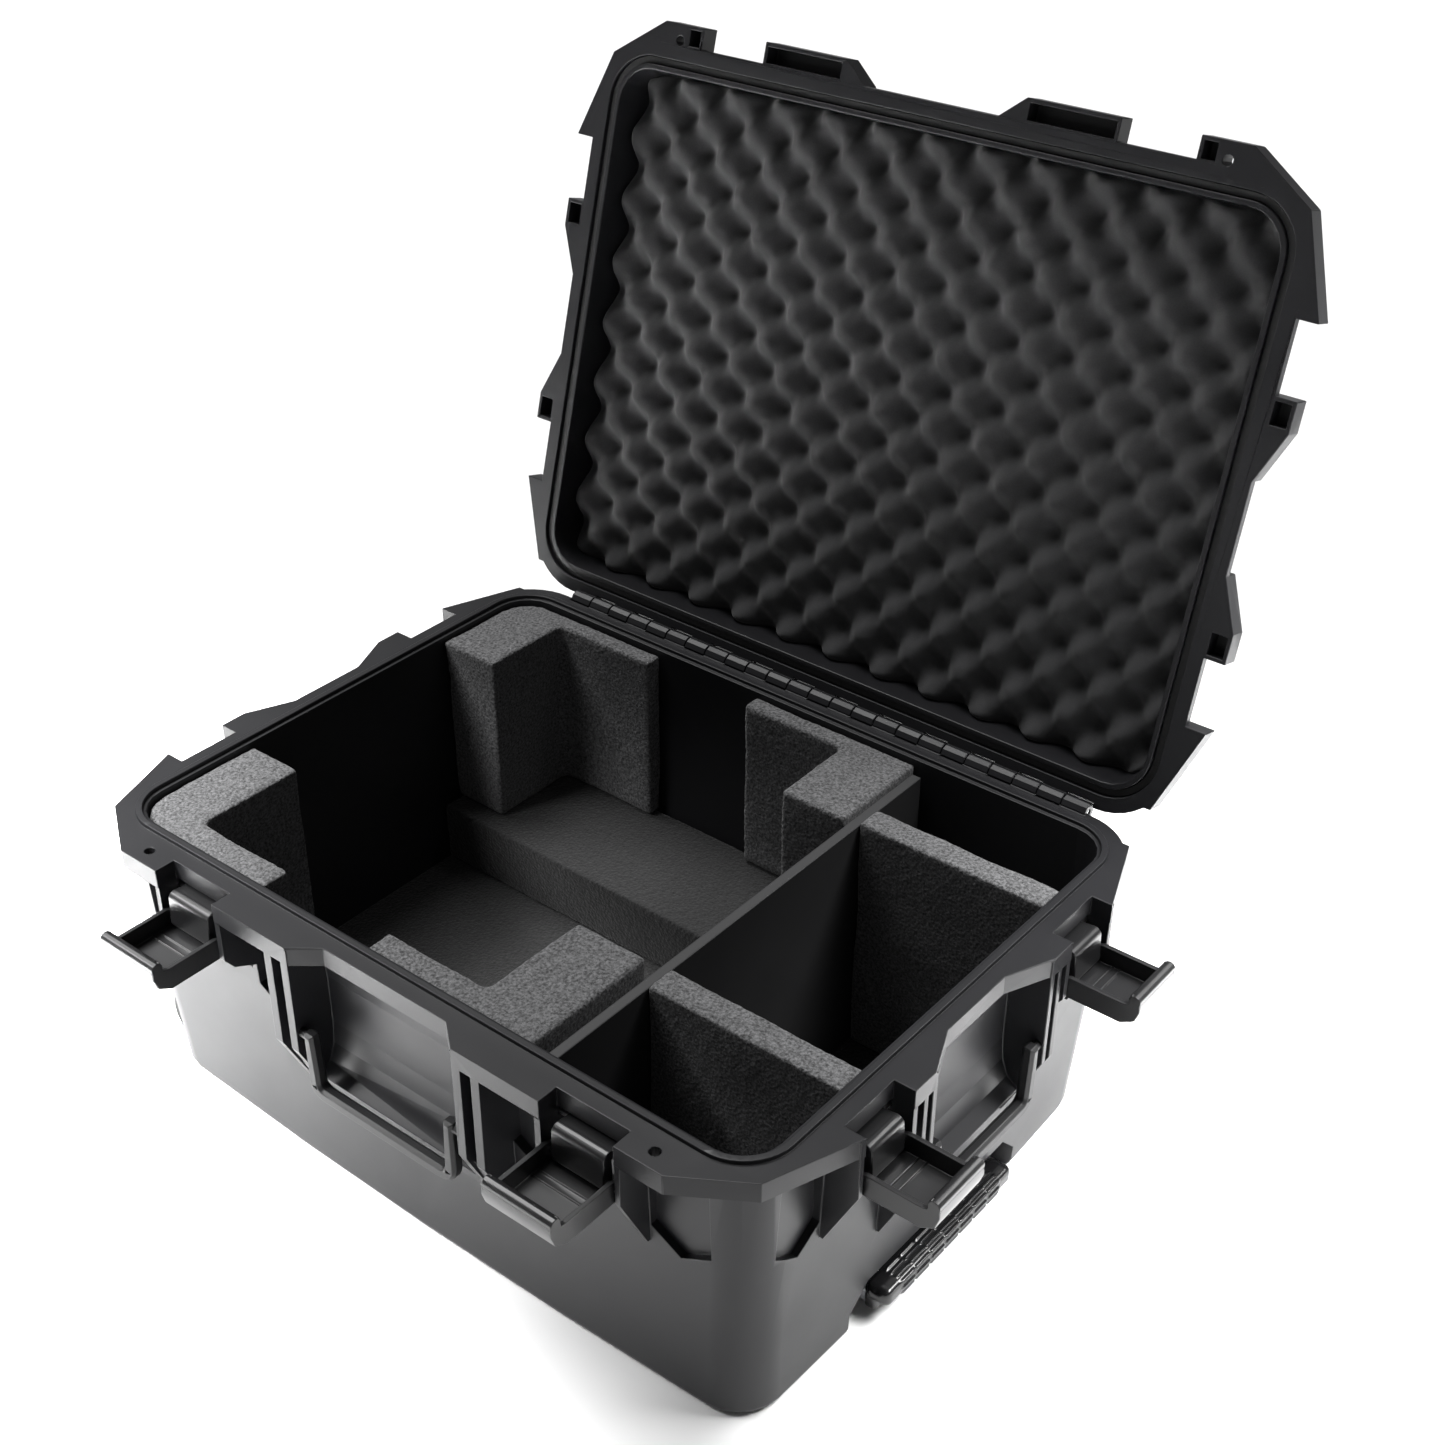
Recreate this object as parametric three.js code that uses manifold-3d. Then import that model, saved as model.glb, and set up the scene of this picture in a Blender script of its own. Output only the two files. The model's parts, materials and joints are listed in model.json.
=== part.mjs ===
// Wheeled hard equipment case: moulded tub and lid, six hooked latches, three fold-down handles,
// a pull-out trolley handle, two wheels and a foam interior with dividers.
// Millimetres, +Z up, front towards -Y. The origin is the centre of the underside.

import * as THREE from 'three';
import { mergeVertices } from 'three/addons/utils/BufferGeometryUtils.js';
import Module from 'manifold-3d';

const wasm = await Module();
wasm.setup();

// ---------------------------------------------------------------- driving dimensions

const GAP = 0.3;                 // clearance between touching pieces
const CREST_W = 586;             // outside of the crest lip along X
const CREST_D = 428;             // outside of the crest lip along Y
const CREST_TOP = 236;           // top of the crest lip above the underside
const CREST_R = 38;              // plan radius of the crest corners
const CREST_HEIGHT = 3;
const CREST_THICK = 5;

const FLANGE_OUT = 12;           // rim flange beyond the crest line
const FLANGE_TOP = CREST_TOP - CREST_HEIGHT;
const FASCIA = 15;               // height of the flange edge and of the bumper plates
const FLANGE_LOW = FLANGE_TOP - FASCIA;
const BUMPER_OUT = 28;           // bumper plates beyond the crest line

const WALL_OUT = 4;              // wall beyond the crest line at the top
const DRAFT = THREE.MathUtils.degToRad(3.4);
const WALL_CROWN = 7;            // how far the middle of a wall bows out at the bottom
const WALL_R = 32;
const FOOT_FILLET = 8;

const CAVITY_IN = 8;             // inner wall inside the crest line at the top
const CAVITY_DRAFT = THREE.MathUtils.degToRad(1.7);
const CAVITY_R = 28;
const FLOOR = 4;                 // thickness of the floor

// Bays and plates along a side, as distances from the middle of the side.
const FRONT = { span: CREST_W, slant: 57, plate: 77, bay: [151, 210], corner: 248,
  handle: 70, ribs: [[76, 83.5], [92.5, 100], [146, 151]], pocket: [100, 146], cornerPocket: [215, 262] };
const END = { span: CREST_D, slant: 33, plate: 70, bay: [92, 143], corner: 143,
  handle: 62, ribs: [[67, 71.5], [76.5, 81], [87.5, 92]], pocket: [81, 87.5], cornerPocket: [148, 190] };

const TIP_X = CREST_W / 2 + 3;   // tips of the corner plates
const TIP_Y = CREST_D / 2 - 3;

const RIB_LOW = 143;             // handle ribs turn back towards the wall here
const FAIRING_LOW = 86;          // the fairing under the handle ends here
const DISH_LOW = 111;            // lower edge of the handle recess
const LATCH_RIB_LOW = 176;
const BAY_LOW = 156;
const POCKET_LOW = 136;
const POCKET_IN = 5;             // depth of the pockets inside the crest line
const PADLOCK_AT = 232;
const PADLOCK_OUT = 15.5;
const PADLOCK_R = 3.8;

// Latch, in the plane across the wall: distance beyond the crest line, height.
const LINK_PIN = [9, CREST_TOP - 24];
const LEVER_PIN = [23.5, CREST_TOP - 43];
const LATCH_PIN_R = 2;
const LEVER_LENGTH = 52.5;       // lever pin to the hooked bar
const HOOK_RISE = 13;
const HOOK_R = 4.5;
const LINK_NARROWER = 14;        // link plate against the lever
const BAY_SIDE_GAP = 1.5;
const LEVER_HANG = 60;           // the lever swings this far below level
const LATCH_LINK_RATIO = -0.03;

// Handles.
const HANDLE_PIVOT = [23, 158];
const HANDLE_DROP = 50;
const HANDLE_T = 10;

// Hinge.
const HINGE_Y = 229.5;
const HINGE_Z = 232.1;
const HINGE_R = 7;
const HINGE_PIN_R = 2;
const KNUCKLES = 12;
const KNUCKLE_PITCH = 41.7;
const KNUCKLE_W = 20;
const KNUCKLE_SHIFT = 13;
const LID_OPEN = THREE.MathUtils.degToRad(105.4);

// Lid.
const LID_FLANGE_T = 6.4;
const LID_BUMPER_H = 16;
const LID_WALL_OUT = 2;
const LID_HEIGHT = 50;
const LID_SKIN = 4;
const GROOVE_TOP = CREST_TOP + 2.5;

// Trolley handle and its tubes.
const TUBE_Y = 67;
const TUBE_Z = 12;
const TUBE_W = 16;
const TUBE_H = 15;
const TUBE_WALL = 1.5;
const TUBE_X = [-190, 252];
const ROD_W = 12.4;
const ROD_H = 11.4;
const GRIP_X = [282, 304];
const GRIP_HALF = 78;
const GRIP_H = 17;
const GRIP_Z = 22;
const BAY_HALF = 101;

// Wheels.
const WHEEL_X = -270;
const WHEEL_Z = 32;
const WHEEL_R = 30;
const WHEEL_W = 24;
const WHEEL_Y = 181;
const AXLE_R = 4;
const TYRE_IN = 21;             // where the tyre sits on the hub
const WELL_R = 33;

// Interior.
const BASE_PAD_TOP = 24;
const FLOOR_FOAM_TOP = 78;
const BLOCK_TOP = CREST_TOP - 6;
const PANEL_TOP = CREST_TOP - 9;
const PANEL = [121.5, 129.5];    // the divider panel along X

// ---------------------------------------------------------------- helpers

// A closed geometry as a solid for joining and cutting.
function solid(geometry) {
  const bare = geometry.clone();
  bare.deleteAttribute('normal');
  bare.deleteAttribute('uv');
  const merged = mergeVertices(bare, 1e-4);
  return new wasm.Manifold(new wasm.Mesh({
    numProp: 3,
    vertProperties: new Float32Array(merged.attributes.position.array),
    triVerts: new Uint32Array(merged.index.array),
  }));
}

// A solid back as a geometry.
function geometryOf(body) {
  const mesh = body.getMesh();
  const geometry = new THREE.BufferGeometry();
  geometry.setAttribute('position', new THREE.BufferAttribute(new Float32Array(mesh.vertProperties), 3));
  geometry.setIndex(new THREE.BufferAttribute(new Uint32Array(mesh.triVerts), 1));
  return geometry;
}

const join = (...bodies) => bodies.reduce((sum, body) => sum.add(body));
const cut = (body, ...tools) => tools.reduce((rest, tool) => rest.subtract(tool), body);

function box(x0, x1, y0, y1, z0, z1) {
  const geometry = new THREE.BoxGeometry(x1 - x0, y1 - y0, z1 - z0);
  geometry.translate((x0 + x1) / 2, (y0 + y1) / 2, (z0 + z1) / 2);
  return solid(geometry);
}

// Rounded rectangle centred on the origin, as a closed outline.
function roundedRectangle(halfX, halfY, radius) {
  const shape = new THREE.Shape();
  shape.absarc(halfX - radius, halfY - radius, radius, 0, Math.PI / 2);
  shape.absarc(radius - halfX, halfY - radius, radius, Math.PI / 2, Math.PI);
  shape.absarc(radius - halfX, radius - halfY, radius, Math.PI, 1.5 * Math.PI);
  shape.absarc(halfX - radius, radius - halfY, radius, 1.5 * Math.PI, 2 * Math.PI);
  return shape;
}

const outline = (points) => new THREE.Shape(points.map(([a, b]) => new THREE.Vector2(a, b)));

// A plan outline between two heights.
function slab(shape, z0, z1, curveSegments = 5) {
  const geometry = new THREE.ExtrudeGeometry(shape, { depth: z1 - z0, bevelEnabled: false, curveSegments });
  geometry.translate(0, 0, z0);
  return solid(geometry);
}

// A slab of the crest outline grown by a distance.
const rimSlab = (grow, z0, z1) =>
  slab(roundedRectangle(CREST_W / 2 + grow, CREST_D / 2 + grow, Math.max(CREST_R + grow, 4)), z0, z1);

// An outline across the wall (distance beyond the crest line, height), carried along the side.
// In side coordinates X runs along the side and -Y points away from the wall.
function acrossWall(points, s0, s1, curveSegments = 5) {
  const shape = points instanceof THREE.Shape ? points : outline(points);
  const geometry = new THREE.ExtrudeGeometry(shape, { depth: s1 - s0, bevelEnabled: false, curveSegments });
  geometry.translate(0, 0, s0);
  const basis = new THREE.Matrix4().makeBasis(
    new THREE.Vector3(0, -1, 0), new THREE.Vector3(0, 0, 1), new THREE.Vector3(-1, 0, 0));
  geometry.applyMatrix4(basis);
  return solid(geometry);
}

// The same, on both halves of the side.
const bothHalves = (make, s0, s1) => join(make(s0, s1), make(-s1, -s0));

// A round bar along the side at a point across the wall.
function bar(centre, radius, s0, s1, segments = 10) {
  const geometry = new THREE.CylinderGeometry(radius, radius, s1 - s0, segments);
  geometry.rotateZ(Math.PI / 2);
  geometry.translate((s0 + s1) / 2, -centre[0], centre[1]);
  return solid(geometry);
}

function upright(x, y, radius, z0, z1, segments = 10) {
  const geometry = new THREE.CylinderGeometry(radius, radius, z1 - z0, segments);
  geometry.rotateX(Math.PI / 2);
  geometry.translate(x, y, (z0 + z1) / 2);
  return solid(geometry);
}

// Turns a solid made in side coordinates onto its own side.
const SIDES = {
  front: { turn: 0, x: 0, y: -CREST_D / 2, layout: FRONT },
  right: { turn: Math.PI / 2, x: CREST_W / 2, y: 0, layout: END },
  left: { turn: -Math.PI / 2, x: -CREST_W / 2, y: 0, layout: END },
};

function sideMatrix(side) {
  const { turn, x, y } = SIDES[side];
  return new THREE.Matrix4().makeRotationZ(turn).setPosition(x, y, 0);
}

function onSide(side, body) {
  const geometry = geometryOf(body);
  geometry.applyMatrix4(sideMatrix(side));
  return solid(geometry);
}

// Closed skin through rings of equally many points, from the bottom ring to the top one.
function loft(rings) {
  const count = rings[0].length;
  const positions = rings.flat(2);
  const index = [];
  for (let level = 0; level + 1 < rings.length; level += 1) {
    for (let i = 0; i < count; i += 1) {
      const a = level * count + i;
      const b = level * count + (i + 1) % count;
      index.push(a, b, b + count, a, b + count, a + count);
    }
  }
  const last = (rings.length - 1) * count;
  for (let i = 1; i + 1 < count; i += 1) {
    index.push(0, i + 1, i);
    index.push(last, last + i, last + i + 1);
  }
  const geometry = new THREE.BufferGeometry();
  geometry.setAttribute('position', new THREE.Float32BufferAttribute(positions, 3));
  geometry.setIndex(index);
  return solid(geometry);
}

// One ring: a rounded rectangle whose sides bow out by crown in their middle.
function ring(halfX, halfY, radius, crown, z, cornerSteps = 5, sideSteps = 4) {
  const points = [];
  const corners = [[1, -1], [1, 1], [-1, 1], [-1, -1]];
  corners.forEach(([sx, sy], corner) => {
    const start = (corner - 1) * Math.PI / 2;
    for (let i = 0; i <= cornerSteps; i += 1) {
      const angle = start + i / cornerSteps * Math.PI / 2;
      points.push([sx * (halfX - radius) + radius * Math.cos(angle),
        sy * (halfY - radius) + radius * Math.sin(angle)]);
    }
    const [nx, ny] = corners[(corner + 1) % 4];
    const from = points[points.length - 1];
    const angle = start + Math.PI / 2;
    const to = [nx * (halfX - radius) + radius * Math.cos(angle), ny * (halfY - radius) + radius * Math.sin(angle)];
    for (let i = 1; i < sideSteps; i += 1) {
      const t = i / sideSteps;
      points.push([from[0] + (to[0] - from[0]) * t, from[1] + (to[1] - from[1]) * t]);
    }
  });
  return points.map(([x, y]) => {
    const u = x / halfX;
    const v = y / halfY;
    const bowX = crown * u * Math.abs(u) * (1 - v * v) * halfY / halfX;
    const bowY = crown * v * Math.abs(v) * (1 - u * u);
    return [x + bowX, y + bowY, z];
  });
}

// ---------------------------------------------------------------- materials

const polypropylene = () => new THREE.MeshStandardMaterial({ color: 0x2b2b2c, roughness: 0.55, metalness: 0 });
const glossyNylon = () => new THREE.MeshStandardMaterial({ color: 0x202021, roughness: 0.3, metalness: 0 });
const rubber = () => new THREE.MeshStandardMaterial({ color: 0x19191a, roughness: 0.7, metalness: 0 });
const foam = () => new THREE.MeshStandardMaterial({ color: 0x3a3a3b, roughness: 0.95, metalness: 0 });
const eggFoam = () => new THREE.MeshStandardMaterial({ color: 0x262627, roughness: 0.95, metalness: 0 });
const panelBoard = () => new THREE.MeshStandardMaterial({ color: 0x1d1d1e, roughness: 0.7, metalness: 0 });
const steel = () => new THREE.MeshStandardMaterial({ color: 0x9b9da0, roughness: 0.35, metalness: 1 });
const aluminium = () => new THREE.MeshStandardMaterial({ color: 0xb4b6b8, roughness: 0.4, metalness: 1 });

const equipmentCase = new THREE.Group();

function addPiece(name, body, material, parent = equipmentCase) {
  const mesh = new THREE.Mesh(geometryOf(body), material);
  mesh.name = name;
  parent.add(mesh);
  return mesh;
}

// ---------------------------------------------------------------- tub

// Wall half sizes at a height: the draft runs from just under the flange down to the underside.
function wallRing(z, inset = 0) {
  const top = CREST_TOP - 20;
  const down = top - z;
  const grow = WALL_OUT - Math.max(down, 0) * Math.tan(DRAFT) - inset;
  return ring(CREST_W / 2 + grow, CREST_D / 2 + grow, Math.max(WALL_R - inset, 6), WALL_CROWN * down / top, z);
}

function outerWall() {
  const rings = [];
  for (const angle of [0, 30, 60, 90]) {
    const turn = THREE.MathUtils.degToRad(angle);
    rings.push(wallRing(FOOT_FILLET * (1 - Math.cos(turn)), FOOT_FILLET * (1 - Math.sin(turn))));
  }
  for (const z of [70, 145, FLANGE_TOP - 5]) {
    rings.push(wallRing(z));
  }
  return loft(rings);
}

function cavity() {
  const rings = [FLOOR, 120, CREST_TOP + 5].map((z) => {
    const inward = CAVITY_IN + Math.max(CREST_TOP - z, 0) * Math.tan(CAVITY_DRAFT);
    return ring(CREST_W / 2 - inward, CREST_D / 2 - inward, CAVITY_R, 3 * (CREST_TOP - z) / CREST_TOP, z);
  });
  return loft(rings);
}

// Half of the plates along one side, mirrored onto the other half.
function plates(layout, z0, z1) {
  const half = layout.span / 2;
  const inner = -20;
  const handlePlate = [[layout.slant, -inner], [layout.slant, -FLANGE_OUT], [layout.plate, -BUMPER_OUT],
    [layout.bay[0], -BUMPER_OUT], [layout.bay[0], -inner]];
  const tip = layout === FRONT ? [TIP_X, CREST_D / 2 - TIP_Y] : [TIP_Y, CREST_W / 2 - TIP_X];
  const shoulder = layout.corner > layout.bay[1] ? [[layout.corner, -BUMPER_OUT]] : [];
  const cornerPlate = [[layout.bay[1], -inner], [layout.bay[1], -BUMPER_OUT], ...shoulder,
    tip, [tip[0], tip[1] + 8], [half - 45, -inner + 10]];
  const mirrored = (points) => points.map(([s, o]) => [-s, o]).reverse();
  return join(...[handlePlate, cornerPlate, mirrored(handlePlate), mirrored(cornerPlate)]
    .map((points) => slab(outline(points), z0, z1)));
}

// Ribs, fairing and recess of one side.
function sideSolids(layout) {
  const [handleRib, middleRib, latchRib] = layout.ribs;
  const longRib = [[-4, FLANGE_TOP - 2], [28, FLANGE_TOP - 2], [28, RIB_LOW], [1, FAIRING_LOW], [-6, FAIRING_LOW]];
  const shortRib = [[-4, FLANGE_TOP - 2], [27.5, FLANGE_TOP - 2], [27.5, LATCH_RIB_LOW + 10],
    [20, LATCH_RIB_LOW], [-4, LATCH_RIB_LOW - 12]];
  const cornerRib = [[-4, FLANGE_TOP - 2], [27.5, FLANGE_TOP - 2], [27.5, LATCH_RIB_LOW + 10],
    [3, POCKET_LOW], [-5, POCKET_LOW]];
  const fairing = [[-8, RIB_LOW], [22, RIB_LOW - 6], [12, DISH_LOW], [-1, FAIRING_LOW], [-8, FAIRING_LOW]];
  const edge = layout.bay[1];
  return join(
    bothHalves((a, b) => acrossWall(longRib, a, b), ...handleRib),
    bothHalves((a, b) => acrossWall(longRib, a, b), ...middleRib),
    bothHalves((a, b) => acrossWall(shortRib, a, b), ...latchRib),
    bothHalves((a, b) => acrossWall(cornerRib, a, b), edge, edge + 4.5),
    acrossWall(fairing, -middleRib[1] + 8, middleRib[1] - 8),
  );
}

// Dish behind the handle, from under the flange down to the lip of the fairing.
function handleDish(layout) {
  const dish = [[60, FLANGE_LOW - 1], [-1, FLANGE_LOW - 1], [-3.5, 190], [-3.5, 150], [-2, 132], [3, 119],
    [12.5, DISH_LOW], [60, DISH_LOW - 12]];
  return acrossWall(dish, -layout.ribs[0][0], layout.ribs[0][0]);
}

// Latch bays and pockets cut into the wall under the plates.
function sideCuts(layout) {
  const bay = [[60, FLANGE_LOW], [-3.5, FLANGE_LOW], [-3.5, BAY_LOW + 12], [6, BAY_LOW], [60, BAY_LOW]];
  const [p0, p1] = layout.pocket;
  const pocket = (a, b) => {
    const middle = (a + b) / 2;
    const points = [[a, FLANGE_LOW - 0.5], [a, POCKET_LOW + 14], [middle, POCKET_LOW], [b, POCKET_LOW + 14],
      [b, FLANGE_LOW - 0.5]];
    const geometry = new THREE.ExtrudeGeometry(outline(points), { depth: 30, bevelEnabled: false });
    geometry.rotateX(Math.PI / 2);
    geometry.translate(0, POCKET_IN, 0);
    return solid(geometry);
  };
  const [c0, c1] = layout.cornerPocket;
  const slots = [[layout.ribs[0][1], layout.ribs[1][0]]];
  const cuts = [
    bothHalves((a, b) => acrossWall(bay, a, b), ...layout.bay),
    bothHalves(pocket, c0, c1),
    ...slots.map(([a, b]) => bothHalves((lo, hi) =>
      acrossWall([[60, FLANGE_LOW - 1], [2, FLANGE_LOW - 1], [2, 150], [26, RIB_LOW], [60, RIB_LOW]], lo, hi), a, b)),
  ];
  if (p1 - p0 > 10) cuts.push(bothHalves(pocket, p0, p1));
  return join(...cuts);
}

// Holes for the pins of the latches and the trunnions of the handle.
function sideHoles(layout) {
  const [b0, b1] = layout.bay;
  const pinHole = (a, b) => bar(LINK_PIN, LATCH_PIN_R + GAP, a, b);
  const trunnionHole = (a, b) => bar(HANDLE_PIVOT, 3.3 + GAP, a, b);
  return join(
    bothHalves(pinHole, b0 - 3.3, b1 + 3.3),
    bothHalves(trunnionHole, layout.ribs[0][0] - 2, layout.ribs[0][1] - 1),
  );
}

// Knuckle positions: the tub and the lid take turns along the hinge.
const tubKnuckles = Array.from({ length: KNUCKLES }, (_, i) =>
  (i - (KNUCKLES - 1) / 2) * KNUCKLE_PITCH + KNUCKLE_SHIFT);
const lidKnuckles = tubKnuckles.map((x) => x - KNUCKLE_PITCH / 2);

// A bar along X on the hinge axis.
function hingeBar(radius, x0, x1, segments = 10) {
  const geometry = new THREE.CylinderGeometry(radius, radius, x1 - x0, segments);
  geometry.rotateZ(Math.PI / 2);
  geometry.translate((x0 + x1) / 2, HINGE_Y, HINGE_Z);
  return solid(geometry);
}

function knuckle(x, webLow, webHigh) {
  return join(
    hingeBar(HINGE_R, x - KNUCKLE_W / 2, x + KNUCKLE_W / 2),
    box(x - KNUCKLE_W / 2, x + KNUCKLE_W / 2, CREST_D / 2 + FLANGE_OUT - 6, HINGE_Y, webLow, webHigh),
  );
}

function trolleyBay() {
  const mouth = outline([[-BAY_HALF, -5], [-BAY_HALF, 21], [-GRIP_HALF - 5, 40], [GRIP_HALF + 5, 40],
    [BAY_HALF, 21], [BAY_HALF, -5]]);
  const geometry = new THREE.ExtrudeGeometry(mouth, { depth: 60, bevelEnabled: false });
  geometry.rotateX(Math.PI / 2);
  geometry.rotateZ(Math.PI / 2);
  geometry.translate(GRIP_X[0] - 12, 0, 0);
  return solid(geometry);
}

// Walls inside the tub that close off the wheel wells, the trolley bay and the tube channels.
function housings() {
  const bodies = [box(GRIP_X[0] - 16, 288, -BAY_HALF - 4, BAY_HALF + 4, 0, 44)];
  for (const side of [-1, 1]) {
    const [y0, y1] = [WHEEL_Y - WHEEL_W / 2 - 5, WHEEL_Y + WHEEL_W / 2 + 8].map((y) => side * y).sort((a, b) => a - b);
    bodies.push(box(-283, WHEEL_X + WELL_R + 4, y0, y1, 0, WHEEL_Z + WELL_R + 4));
    bodies.push(box(TUBE_X[0] - 4, GRIP_X[0] - 10, side * TUBE_Y - TUBE_W / 2 - 3, side * TUBE_Y + TUBE_W / 2 + 3,
      0, TUBE_Z + TUBE_H / 2 + 3));
  }
  return join(...bodies);
}

function wheelWell(side) {
  const y0 = side * WHEEL_Y - WHEEL_W / 2 - 2;
  const y1 = side * WHEEL_Y + WHEEL_W / 2 + 2;
  const x1 = WHEEL_X + WELL_R;
  return join(
    box(-330, WHEEL_X, y0, y1, -5, WHEEL_Z + WELL_R),
    box(-330, x1, y0, y1, -5, WHEEL_Z),
    alongY(WHEEL_X, WHEEL_Z, WELL_R, y0, y1, 20),
  );
}

// A round bar along Y.
function alongY(x, z, radius, y0, y1, segments = 10) {
  const geometry = new THREE.CylinderGeometry(radius, radius, y1 - y0, segments);
  geometry.translate(x, (y0 + y1) / 2, z);
  return solid(geometry);
}

const axleSpan = (side) => [WHEEL_Y - WHEEL_W / 2 - 6, WHEEL_Y + WHEEL_W / 2 + 12]
  .map((y) => side * y).sort((a, b) => a - b);

function tub() {
  let body = join(outerWall(), rimSlab(FLANGE_OUT, FLANGE_LOW, FLANGE_TOP), rimSlab(0, FLANGE_TOP - 1, CREST_TOP));
  for (const side of Object.keys(SIDES)) {
    const { layout } = SIDES[side];
    body = body.add(onSide(side, plates(layout, FLANGE_LOW, FLANGE_TOP)));
    body = body.subtract(onSide(side, sideCuts(layout)));
    body = body.add(onSide(side, sideSolids(layout)));
    body = body.subtract(onSide(side, join(handleDish(layout), sideHoles(layout))));
  }
  for (const x of tubKnuckles) {
    body = body.add(knuckle(x, FLANGE_LOW + 2, HINGE_Z));
  }
  for (const x of lidKnuckles) {
    const half = KNUCKLE_W / 2 + 0.8;
    body = body.subtract(hingeBar(HINGE_R + 1, x - half, x + half));
  }
  body = body.subtract(cavity()).subtract(rimSlab(-CREST_THICK, FLANGE_TOP, CREST_TOP + 5));
  body = body.add(housings().intersect(outerWall()));
  for (const side of [-1, 1]) {
    body = body.subtract(wheelWell(side));
    body = body.subtract(alongY(WHEEL_X, WHEEL_Z, AXLE_R + GAP, ...axleSpan(side).map((y, i) => y + (i ? GAP : -GAP))));
    body = body.subtract(box(TUBE_X[0] - GAP, GRIP_X[0], side * TUBE_Y - TUBE_W / 2 - GAP,
      side * TUBE_Y + TUBE_W / 2 + GAP, TUBE_Z - TUBE_H / 2 - GAP, TUBE_Z + TUBE_H / 2 + GAP));
  }
  for (const x of [-PADLOCK_AT, PADLOCK_AT]) {
    body = body.subtract(upright(x, -CREST_D / 2 - PADLOCK_OUT, PADLOCK_R, FLANGE_LOW - 5, FLANGE_TOP + 5));
  }
  return cut(body, trolleyBay(), hingeBar(HINGE_PIN_R + GAP, -300, 300));
}

addPiece('base_shell', tub(), polypropylene());

// ---------------------------------------------------------------- lid, made closed

// The lid pieces are made closed and hang open in a group that turns about the hinge.
const lid = new THREE.Group();
lid.position.set(0, HINGE_Y, HINGE_Z);
lid.rotation.x = -LID_OPEN;
const lidBody = new THREE.Group();
lidBody.position.set(0, -HINGE_Y, -HINGE_Z);
lid.add(lidBody);
equipmentCase.add(lid);

const LID_LOW = FLANGE_TOP + GAP;
const LID_FLANGE_TOP = LID_LOW + LID_FLANGE_T;
const LID_TOP = CREST_TOP + LID_HEIGHT;

function lidDome() {
  const rings = [[LID_LOW + 0.5, 0], [LID_TOP - 16, 5], [LID_TOP - 5, 8], [LID_TOP, 15]].map(([z, inward]) =>
    ring(CREST_W / 2 + LID_WALL_OUT - inward, CREST_D / 2 + LID_WALL_OUT - inward, CREST_R, 0, z));
  return loft(rings);
}

function lidCavity() {
  const depth = [[LID_LOW - 5, 9], [LID_TOP - 14, 13], [LID_TOP - LID_SKIN, 20]];
  return loft(depth.map(([z, inward]) =>
    ring(CREST_W / 2 - inward, CREST_D / 2 - inward, CREST_R - 9, 0, z)));
}

// Hollow of one lid bumper, open towards the tub.
function bumperHollows(layout) {
  const wall = 3;
  const top = LID_LOW + LID_BUMPER_H - wall;
  const [b0, b1] = layout.bay;
  const inner = FLANGE_OUT + 1;
  const near = [[layout.plate + wall, -inner], [layout.plate + wall, wall - BUMPER_OUT],
    [b0 - wall, wall - BUMPER_OUT], [b0 - wall, -inner]];
  const cuts = [near, near.map(([s, o]) => [-s, o]).reverse()];
  if (layout === FRONT) {
    const far = [[b1 + wall, -inner], [b1 + wall, wall - BUMPER_OUT], [PADLOCK_AT - 9, wall - BUMPER_OUT],
      [PADLOCK_AT - 9, -inner]];
    cuts.push(far, far.map(([s, o]) => [-s, o]).reverse());
  }
  return join(...cuts.map((points) => slab(outline(points), LID_LOW - 5, top)));
}

function lidShell() {
  let body = join(rimSlab(FLANGE_OUT, LID_LOW, LID_FLANGE_TOP), lidDome());
  for (const side of Object.keys(SIDES)) {
    const { layout } = SIDES[side];
    body = body.add(onSide(side, plates(layout, LID_LOW, LID_LOW + LID_BUMPER_H)));
    body = body.subtract(onSide(side, bumperHollows(layout)));
  }
  for (const x of lidKnuckles) {
    body = body.add(knuckle(x, HINGE_Z + 1.5, LID_FLANGE_TOP));
  }
  for (const x of tubKnuckles) {
    const half = KNUCKLE_W / 2 + 0.8;
    body = body.subtract(hingeBar(HINGE_R + 1, x - half, x + half));
  }
  for (const x of [-PADLOCK_AT, PADLOCK_AT]) {
    body = body.subtract(upright(x, -CREST_D / 2 - PADLOCK_OUT, PADLOCK_R, LID_LOW - 5, LID_TOP));
  }
  const groove = cut(rimSlab(0.6, LID_LOW - 5, GROOVE_TOP), rimSlab(-CREST_THICK - 0.6, LID_LOW - 6, GROOVE_TOP + 1));
  return cut(body, lidCavity(), groove, hingeBar(HINGE_PIN_R + GAP, -300, 300));
}

const gasket = () => cut(rimSlab(0.3, CREST_TOP + 0.4, GROOVE_TOP - GAP),
  rimSlab(-CREST_THICK - 0.3, CREST_TOP - 1, GROOVE_TOP + 1));

// Plain pad of the same outer shape as the egg-crate foam.
function lidFoam() {
  const inward = 11.8;
  return loft([[CREST_TOP + 12, inward], [LID_TOP - 14, 13.8], [LID_TOP - LID_SKIN - 2, 20.5]].map(([z, d]) =>
    ring(CREST_W / 2 - d, CREST_D / 2 - d, CREST_R - 10, 0, z)));
}

addPiece('lid_shell', lidShell(), polypropylene(), lidBody);
addPiece('lid_gasket', gasket(), rubber(), lidBody);
addPiece('lid_foam', lidFoam(), eggFoam(), lidBody);
addPiece('hinge_pin', hingeBar(HINGE_PIN_R, lidKnuckles[0] - 9, tubKnuckles[KNUCKLES - 1] + 9, 12), steel());

// ---------------------------------------------------------------- latches

const plus = ([a, b], c, d) => [a + c, b + d];

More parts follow.
